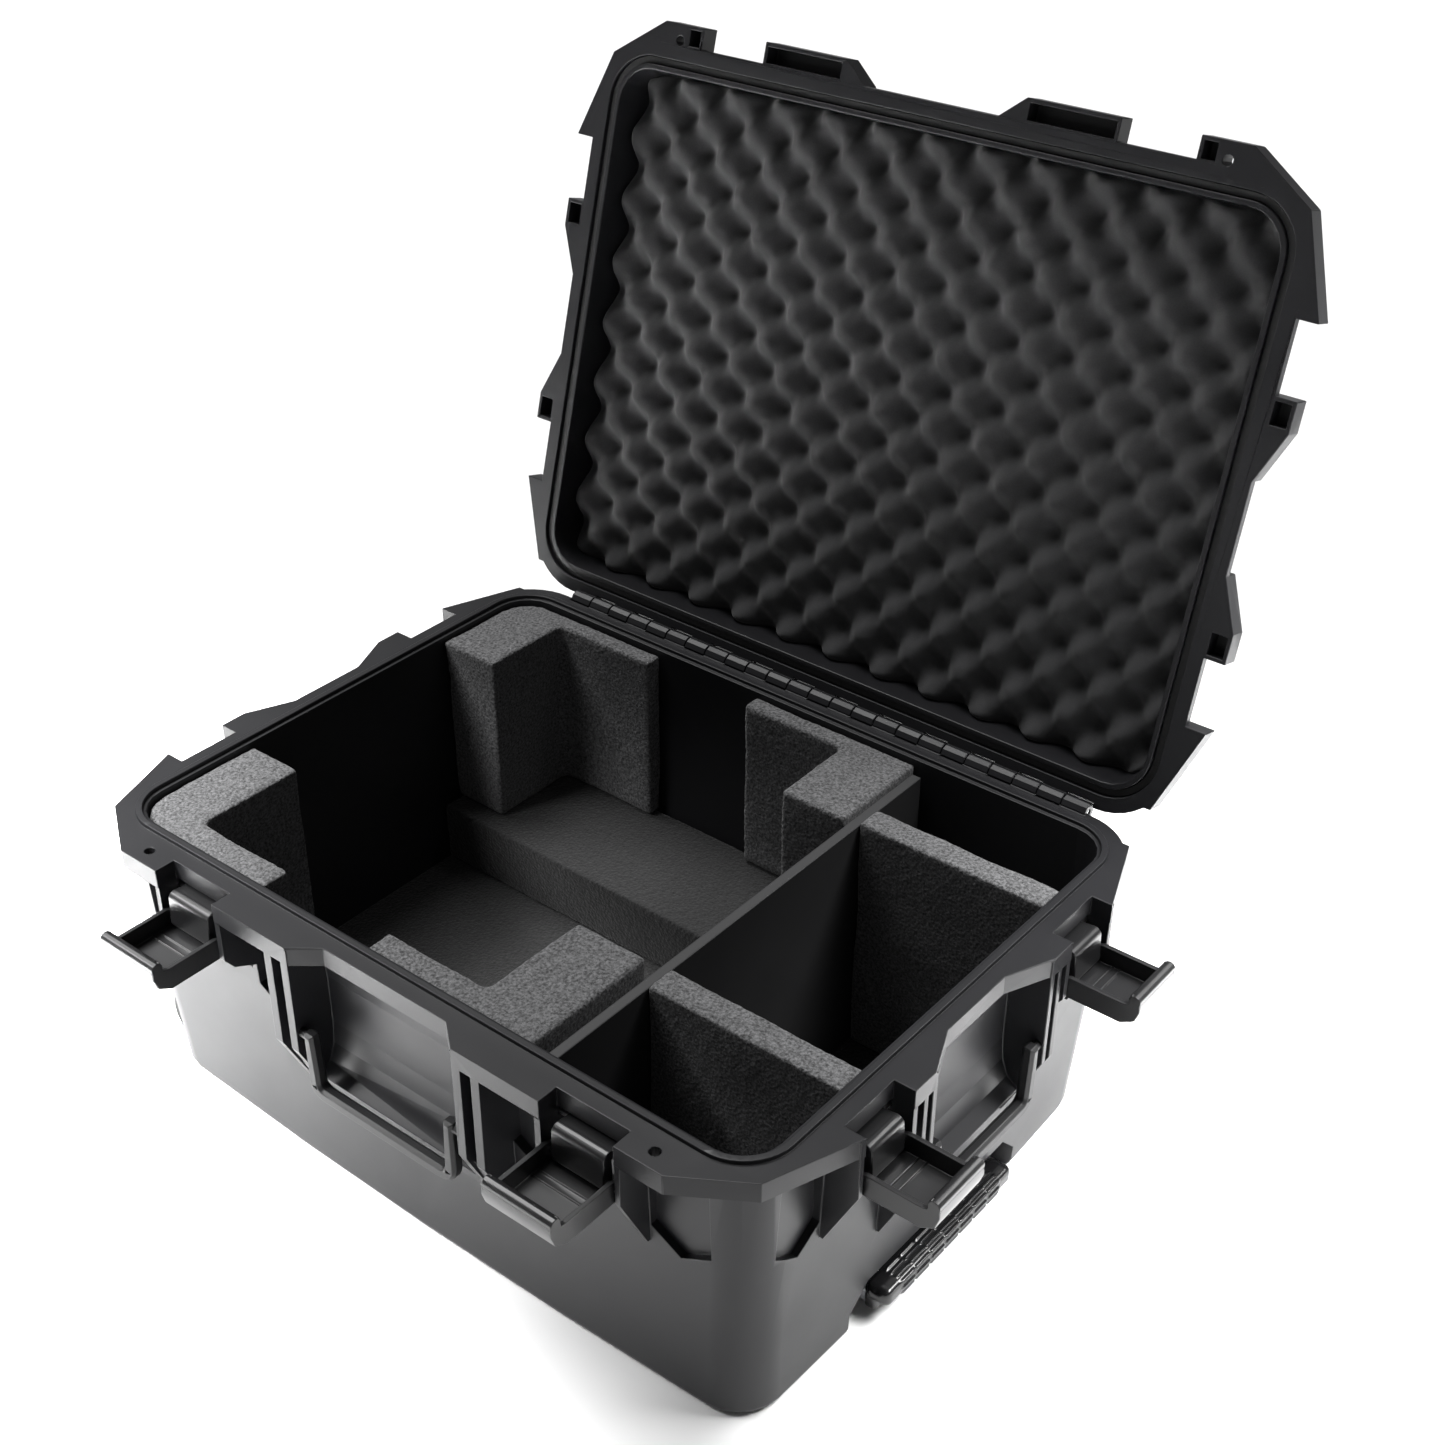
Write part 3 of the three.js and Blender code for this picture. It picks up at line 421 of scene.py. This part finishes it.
def drawn_metal(name, colour, roughness, along):
    """Drawn or ground metal: fine lines along one axis break up the highlight.

    The lines are drawn 0.8 mm apart and 60 mm long, coarser than the real ones, so that they show.
    """
    material, tree, shader, place = begin(name)
    stretch = [per_metre(0.8)] * 3
    stretch["XYZ".index(along)] = per_metre(60)
    lines_at = add(tree, "ShaderNodeMapping", Vector=place, Scale=stretch).outputs[0]
    lines = add(tree, "ShaderNodeTexNoise", Vector=lines_at, Scale=1.0, Detail=3.0).outputs[0]
    tint(tree, shader, lines, colour, 0.9, 1.1)
    tree.links.new(ramp(tree, lines, roughness - 0.08, roughness + 0.08), shader.inputs["Roughness"])
    shader.inputs["Metallic"].default_value = 1.0
    return material


def studio_paper():
    """Seamless background paper: white, matt, nearly even."""
    material, tree, shader, place = begin("Background paper")
    fibre = noise(tree, place, 300, Detail=2.0)
    tree.links.new(shade(tree, fibre, linear("#f6f6f6"), linear("#ffffff")), shader.inputs["Base Color"])
    shader.inputs["Roughness"].default_value = 0.9
    return material


# ---------------------------------------------------------------- hard pieces


def finished_copy(node, material, edge, segments=2):
    """A hard piece: a frame node's welded copy with its edges broken."""
    made = smooth(merged_copy(node, f"{node}_finished"))
    break_edges(made, edge, segments)
    return stand_for(made, node, material)


def fitting_nylon():
    """The nylon that latches and hubs share, made on first use."""
    made = bpy.data.materials.get("Glass-filled nylon")
    return made or glass_filled_nylon(tuple(bpy.context.scene.case_fittings.colour))


class OBJECT_OT_case_shells(bpy.types.Operator):
    """Build the moulded tub and lid"""

    bl_idname = "object.case_shells"
    bl_label = "Tub and lid"

    def execute(self, context):
        settings = context.scene.case_shell
        material = moulded_polypropylene(tuple(settings.colour))
        for node in ("base_shell", "lid_shell"):
            finished_copy(node, material, settings.edge)
        return {"FINISHED"}


class OBJECT_OT_case_seal(bpy.types.Operator):
    """Build the rubber seal in the lid's groove"""

    bl_idname = "object.case_seal"
    bl_label = "Seal"

    def execute(self, context):
        finished_copy("lid_gasket", moulded_rubber("Seal rubber", linear("#111112"), 0.6), 0.5 * MM)
        return {"FINISHED"}


class OBJECT_OT_case_latches(bpy.types.Operator):
    """Build the links and levers of the latches"""

    bl_idname = "object.case_latches"
    bl_label = "Latches"

    def execute(self, context):
        edge = context.scene.case_fittings.edge
        nylon = fitting_nylon()
        for side in SIDES:
            for label in "ab":
                for piece in ("link", "lever"):
                    finished_copy(f"{side}_latch_{label}_{piece}", nylon, edge)
        return {"FINISHED"}


class OBJECT_OT_case_handles(bpy.types.Operator):
    """Build the fold-down handles"""

    bl_idname = "object.case_handles"
    bl_label = "Handles"

    def execute(self, context):
        settings = context.scene.case_fittings
        material = grained_nylon(tuple(settings.colour))
        for side in SIDES:
            finished_copy(f"{side}_handle", material, settings.edge)
        return {"FINISHED"}


def rounded_bar(start, end, half_a, half_b, end_round, profile):
    """Points of a bar between two points, closed by small rings at its ends.

    Its section is a superellipse of power 4 with the given half sizes. profile(along, around) is added to
    that radius. Over its end rounding the radius falls by end_round * (1 - (1 - d^2)^(1/2)), where d runs
    from 0 to 1 at the end.
    """
    cap_rings, smallest_angle, middle_rings, points_round = 9, 0.06, 24 * 7 + 1, 120
    start, end = np.array(start, float), np.array(end, float)
    length = np.linalg.norm(end - start)
    axis = (end - start) / length
    side = np.array([1.0, 0, 0]) if abs(axis[0]) < 0.5 else np.array([0, 1.0, 0])
    up = np.cross(axis, side)
    caps = end_round * (1 - np.cos(np.linspace(smallest_angle, np.pi / 2, cap_rings)))
    middle = np.linspace(end_round, length - end_round, middle_rings)[1:-1]
    along = np.concatenate([caps, middle, length - caps[::-1]])[:, None]
    around = np.linspace(0, 2 * np.pi, points_round, endpoint=False)[None, :]
    radius = ((np.abs(np.cos(around)) / half_a) ** 4 + (np.abs(np.sin(around)) / half_b) ** 4) ** -0.25
    depth = np.clip(1 - np.minimum(along, length - along) / end_round, 0, 1)
    shrink = np.sqrt(1 - depth ** 2)
    radius = (radius - end_round + profile(along / length, around)) + end_round * shrink
    across = radius[..., None] * (np.cos(around)[..., None] * side + np.sin(around)[..., None] * up)
    return start + along[..., None] * axis + across


def joined(name, grids):
    """One object from several closed tubes of points, each with its two ends filled."""
    vertices, faces = [], []
    for grid in grids:
        rows, columns = grid.shape[:2]
        offset = sum(len(part) for part in vertices)
        vertices.append(grid.reshape(-1, 3))
        faces += (grid_faces(rows, columns, True) + offset).tolist()
        faces.append(list(range(offset, offset + columns)))
        faces.append(list(range(offset + (rows - 1) * columns, offset + rows * columns)))
    return outward(make_object(name, np.concatenate(vertices), faces))


def trolley_grip(settings):
    """Rounded grip bar with broken lengthwise ribs, and the two lugs that take the rods.

    A rib is the positive part of cos(rows * angle), and it dips to nothing between two segments.
    """
    low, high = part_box("trolley_grip")
    rods = [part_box(f"{label}_trolley_rod") for label in ("front", "rear")]
    bar_height, bar_round = 17 * MM, 6 * MM
    lug_half_x, lug_half_y, lug_round, lug_overlap = 5 * MM, 9 * MM, 2 * MM, 4 * MM
    margin = 0.1                    # of the bar's length, without ribs, at each end
    bar_z = high.z - bar_height / 2
    bar_x = (low.x + high.x) / 2

    def ribs(along, around):
        rounds = np.clip(np.cos(settings.rib_rows * around), 0, 1) ** 0.6
        within = np.clip((np.abs(along - 0.5) - (0.5 - margin)) * -40, 0, 1)
        parted = np.sin(np.pi * settings.rib_segments * (along - margin) / (1 - 2 * margin))
        broken = np.clip(np.abs(parted) * 4, 0, 1)
        return settings.rib_height * rounds * within * broken

    def plain(along, around):
        return 0 * along * around

    half_x = (high.x - low.x) / 2 - settings.rib_height
    half_z = bar_height / 2 - settings.rib_height
    grids = [rounded_bar((bar_x, low.y, bar_z), (bar_x, high.y, bar_z), half_x, half_z, bar_round, ribs)]
    for rod_low, rod_high in rods:
        y = (rod_low.y + rod_high.y) / 2
        x = low.x + lug_half_x
        foot, top = (x, y, low.z), (x, y, bar_z + lug_overlap)
        grids.append(rounded_bar(foot, top, lug_half_x, lug_half_y, lug_round, plain))
    return joined("trolley_grip_moulded", grids)


class OBJECT_OT_case_trolley(bpy.types.Operator):
    """Build the pull-out grip with its ribs"""

    bl_idname = "object.case_trolley"
    bl_label = "Trolley grip"

    def execute(self, context):
        grip = smooth(trolley_grip(context.scene.case_fittings), 50)
        stand_for(grip, "trolley_grip", moulded_rubber("Grip rubber", linear("#141415"), 0.22))
        return {"FINISHED"}


class OBJECT_OT_case_wheels(bpy.types.Operator):
    """Build the tyres and hubs"""

    bl_idname = "object.case_wheels"
    bl_label = "Wheels"

    def execute(self, context):
        tyre = moulded_rubber("Tyre rubber", linear("#131313"), 0.55)
        nylon = fitting_nylon()
        for label in ("front", "rear"):
            finished_copy(f"{label}_tyre", tyre, 0.6 * MM)
            finished_copy(f"{label}_wheel_hub", nylon, context.scene.case_fittings.edge)
        return {"FINISHED"}


class OBJECT_OT_case_metalwork(bpy.types.Operator):
    """Give the pins, axles, tubes and rods their metal"""

    bl_idname = "object.case_metalwork"
    bl_label = "Metalwork"

    def execute(self, context):
        along_x = drawn_metal("Ground steel, along X", linear("#b9b9bb"), 0.3, "X")
        along_y = drawn_metal("Ground steel, along Y", linear("#b9b9bb"), 0.3, "Y")
        aluminium = drawn_metal("Anodised aluminium", linear("#c4c4c8"), 0.35, "X")
        for node, slot in SLOT_OF.items():
            if slot == "aluminium":
                finish = aluminium
            elif slot == "steel":
                finish = along_x if node == "hinge_pin" or node.startswith("front_latch") else along_y
            else:
                continue
            target = frame["nodes"][node]
            target.data.materials.clear()
            target.data.materials.append(finish)
        return {"FINISHED"}


# ---------------------------------------------------------------- foam


def lid_turn(open_to_closed):
    """Matrix that turns the lid from its open rest pose to closed, or back."""
    pivot = Vector(LID_HINGE["pos_m"])
    angle = math.radians(LID_HINGE["range_deg"][1]) * (1 if open_to_closed else -1)
    turn = Matrix.Rotation(angle, 4, Vector(LID_HINGE["axis"]))
    return Matrix.Translation(pivot) @ turn @ Matrix.Translation(-pivot)


def turned(points, matrix):
    """Points moved by a 4 by 4 matrix, as whole arrays."""
    values = np.array(matrix)
    return points @ values[:3, :3].T + values[:3, 3]


def rounded_half_width(y, half_x, half_y, radius):
    """Half width of a rounded rectangle at a distance y from its middle."""
    past = np.clip(np.abs(y) - (half_y - radius), 0, radius)
    return half_x - radius + np.sqrt(radius ** 2 - past ** 2)


def egg_crate_lining(settings):
    """Egg-crate foam in the lid, worked out with the lid closed, then turned open.

    The face is a grid over a rounded rectangle: each row is as wide as the outline is there. Its height is
    cos(2 pi x / pitch) * cos(2 pi y / pitch), so bumps stand in rows half a pitch apart, raised to a power
    that makes the bumps broad and the dimples small. Its edges fall away over a few millimetres.
    """
    pad = turned(coordinates(frame["nodes"]["lid_foam"]), lid_turn(True))
    low, high = pad.min(axis=0), pad.max(axis=0)
    centre = (low + high) / 2
    half_x, half_y = (high[0] - low[0]) / 2, (high[1] - low[1]) / 2
    radius = 28 * MM
    edge_fall, edge_width, back_inset = 4 * MM, 5 * MM, 8 * MM
    rows, columns = 190, 250
    t = np.linspace(-1, 1, rows)[:, None]
    s = np.linspace(-1, 1, columns)[None, :]
    y = t * half_y * np.ones_like(s)
    x = s * rounded_half_width(y, half_x, half_y, radius)
    wave = np.cos(2 * np.pi * x / settings.pitch_x) * np.cos(2 * np.pi * y / settings.pitch_y)
    level = ((wave + 1) / 2) ** 0.75
    edge = np.minimum(half_y - np.abs(y), rounded_half_width(y, half_x, half_y, radius) - np.abs(x))
    fall = np.clip(1 - edge / edge_width, 0, 1) ** 2 * edge_fall
    flat = np.stack([x, y, 0 * x], axis=-1).reshape(-1, 3)
    fine = ripples(flat, 9 * MM, 3).reshape(x.shape) * 0.25 * MM
    face = low[2] + settings.bump_depth * (1 - level) + fall + fine
    points = np.stack([centre[0] + x, centre[1] + y, face], axis=-1).reshape(-1, 3)
    rim = np.concatenate([np.arange(columns), np.arange(2, rows) * columns - 1,
                          np.arange(rows * columns - 1, (rows - 1) * columns - 1, -1),
                          np.arange(rows - 2, 0, -1) * columns])
    back = points[rim].copy()
    back[:, 2] = high[2]
    shrink = 1 - back_inset / half_x
    back[:, :2] = centre[:2] + (back[:, :2] - centre[:2]) * shrink
    count = len(rim)
    behind = np.arange(count) + rows * columns
    sides = np.stack([rim, np.roll(rim, -1), np.roll(behind, -1), behind], axis=-1)
    faces = grid_faces(rows, columns, False).tolist() + sides.tolist() + [behind.tolist()]
    vertices = turned(np.concatenate([points, back]), lid_turn(False))
    return outward(make_object("lid_lining", vertices, faces))


class OBJECT_OT_case_lining(bpy.types.Operator):
    """Build the egg-crate foam in the lid"""

    bl_idname = "object.case_lining"
    bl_label = "Egg-crate lining"

    def execute(self, context):
        settings = context.scene.case_foam
        lining = egg_crate_lining(settings)
        smooth(lining, 60)
        stand_for(lining, "lid_foam", polyurethane_foam(tuple(settings.lining_colour)))
        return {"FINISHED"}


def cut_foam(node, seed):
    """A cut foam block.

    The frame's solid is remade as an even skin, relaxed so that its corners round off, and each point is
    moved along its normal by smooth noise, as a blade leaves foam that is never quite flat.
    """
    made = merged_copy(node, f"{node}_cut")
    remesh = made.modifiers.new("Even skin", "REMESH")
    remesh.mode = "VOXEL"
    remesh.voxel_size = FOAM_VOXEL
    relaxed = made.modifiers.new("Rounded corners", "SMOOTH")
    relaxed.factor = 0.5
    relaxed.iterations = FOAM_RELAX
    baked(made)
    points = coordinates(made)
    normals = coordinates(made, "vector", "vertex_normals")
    broad = ripples(points, 60 * MM, seed) * 0.35 * MM
    close = ripples(points, 8 * MM, seed + 1) * 0.15 * MM
    inset = 0.5 * MM
    points += normals * (broad + close - inset)[:, None]
    made.data.vertices.foreach_set("co", points.astype(np.float32).ravel())
    made.data.update()
    made.data.shade_smooth()
    return made


class OBJECT_OT_case_foam(bpy.types.Operator):
    """Build the foam blocks, dividers and pads in the tub"""

    bl_idname = "object.case_foam"
    bl_label = "Blocks and pads"

    def execute(self, context):
        settings = context.scene.case_foam
        colour = tuple(settings.block_colour)
        cell_mm = settings.cell / MM
        cut = polyethylene_foam("Cut polyethylene foam", colour, cell_mm)
        # Painted shade: a much darker copy of the cut foam, for the floor foam and the base pad low in the
        # tub, where little light reaches.
        floor_shade_foam = polyethylene_foam("Skinned polyethylene foam", scaled(colour, FOAM_FLOOR_PAINTED_SHADE), cell_mm)
        blocks = [node for node, slot in SLOT_OF.items() if slot == "block_foam" and node != "base_pad"]
        for number, node in enumerate(blocks):
            block = cut_foam(node, 2 * number)
            # The floor foam takes the painted shade.
            stand_for(block, node, floor_shade_foam if node == "floor_foam" else cut)
        # The base pad takes the same painted shade.
        pad = finished_copy("base_pad", floor_shade_foam, 1.5 * MM, 3)
        return {"FINISHED"}


class OBJECT_OT_case_divider(bpy.types.Operator):
    """Build the stiff panel between the compartments"""

    bl_idname = "object.case_divider"
    bl_label = "Divider panel"

    def execute(self, context):
        board = plastic("Divider board", linear("#232324"), 0.6, 1.6, 0.08, 1.49)
        finished_copy("divider_panel", board, 1.0 * MM, 3)
        return {"FINISHED"}


# ---------------------------------------------------------------- stage


def link_light(name, light, place):
    """Puts a light in the scene, unseen by the camera."""
    made = bpy.data.objects.new(name, light)
    made.location = place
    made.visible_camera = False
    bpy.context.scene.collection.objects.link(made)
    return made


def aim(obj, target):
    """Turns a light towards a point."""
    obj.rotation_euler = (Vector(target) - obj.location).to_track_quat("-Z", "Y").to_euler()


def softbox(name, place, target, size, power):
    """A rectangular soft light with a grid that narrows its beam, aimed at a point."""
    light = bpy.data.lights.new(name, "AREA")
    light.shape = "RECTANGLE"
    light.size, light.size_y = size
    light.energy = power
    light.spread = math.radians(64)
    aim(link_light(name, light, place), target)


class SCENE_OT_case_stage(bpy.types.Operator):
    """Set the paper floor, the soft lights and the camera"""

    bl_idname = "scene.case_stage"
    bl_label = "Stage"

    def execute(self, context):
        scene = context.scene
        half_floor, below = 12, 0.2 * MM
        corners = np.array([[-1, -1, 0], [1, -1, 0], [1, 1, 0], [-1, 1, 0]], float) * half_floor
        floor = make_object("paper_floor", corners + [0, 0, CAD_BOX[0].z - below], [[0, 1, 2, 3]])
        floor.data.materials.append(studio_paper())

        world = bpy.data.worlds.new("Studio")
        world.use_nodes = True
        background = world.node_tree.nodes["Background"]
        background.inputs["Color"].default_value = (1, 1, 1, 1)
        background.inputs["Strength"].default_value = 0.12
        scene.world = world
        scene.view_settings.view_transform = "Standard"

        # Light from high on the left reaches the tops of the foam and little of the floor between the blocks.
        overhead = bpy.data.lights.new("Overhead", "SUN")
        overhead.energy = 3.6
        overhead.angle = math.radians(35)
        aim(link_light("Overhead", overhead, (-1.1, 0.25, 2.4)), (0, 0, 0))
        # These two light the paper beside the case; the walls show it as a bright, soft reflection.
        softbox("Paper, front left", (-0.92, -0.92, 1.0), (-0.74, -0.62, 0), (0.7, 0.7), 48)
        softbox("Paper, rear right", (1.0, 0.6, 1.0), (0.8, 0.4, 0), (0.8, 0.8), 24)

        # The camera looks down on the near right corner; right and back are its own axes.
        lens = bpy.data.cameras.new("Camera")
        lens.sensor_width = 36
        lens.lens = 51.03
        lens.clip_end = 60
        camera = bpy.data.objects.new("Camera", lens)
        right = Vector((0.77855, 0.62755, 0.00583))
        back = Vector((0.52573, -0.65725, 0.54003))
        turn = Matrix((right, back.cross(right), back)).transposed()
        camera.matrix_world = Matrix.Translation((0.8018, -0.8819, 1.0841)) @ turn.to_4x4()
        scene.collection.objects.link(camera)
        scene.camera = camera
        return {"FINISHED"}


# ---------------------------------------------------------------- panel and run


class VIEW3D_PT_case(bpy.types.Panel):
    """Settings and build steps of the equipment case"""

    bl_label = "Equipment case"
    bl_space_type = "VIEW_3D"
    bl_region_type = "UI"
    bl_category = "Case"

    def draw(self, context):
        for settings in (context.scene.case_shell, context.scene.case_fittings, context.scene.case_foam):
            box = self.layout.box()
            for key in settings.bl_rna.properties.keys():
                if key not in ("rna_type", "name"):
                    box.prop(settings, key)
        for step in STEPS:
            self.layout.operator(step.bl_idname)


STEPS = (
    SCENE_OT_case_stage, OBJECT_OT_case_shells, OBJECT_OT_case_seal, OBJECT_OT_case_latches,
    OBJECT_OT_case_handles, OBJECT_OT_case_trolley, OBJECT_OT_case_wheels, OBJECT_OT_case_metalwork,
    OBJECT_OT_case_lining, OBJECT_OT_case_foam, OBJECT_OT_case_divider,
)
SETTINGS = {"case_shell": ShellSettings, "case_fittings": FittingSettings, "case_foam": FoamSettings}
CLASSES = (*SETTINGS.values(), *STEPS, VIEW3D_PT_case)


def register():
    """Registers the classes and hangs the settings on the scene."""
    for each in CLASSES:
        bpy.utils.register_class(each)
    for key, kind in SETTINGS.items():
        setattr(bpy.types.Scene, key, PointerProperty(type=kind))


def unregister():
    """Takes the settings and classes away again."""
    for key in SETTINGS:
        delattr(bpy.types.Scene, key)
    for each in reversed(CLASSES):
        bpy.utils.unregister_class(each)


def main():
    register()
    for step in STEPS:
        group, call = step.bl_idname.split(".")
        getattr(getattr(bpy.ops, group), call)()


if __name__ == "__main__":
    main()
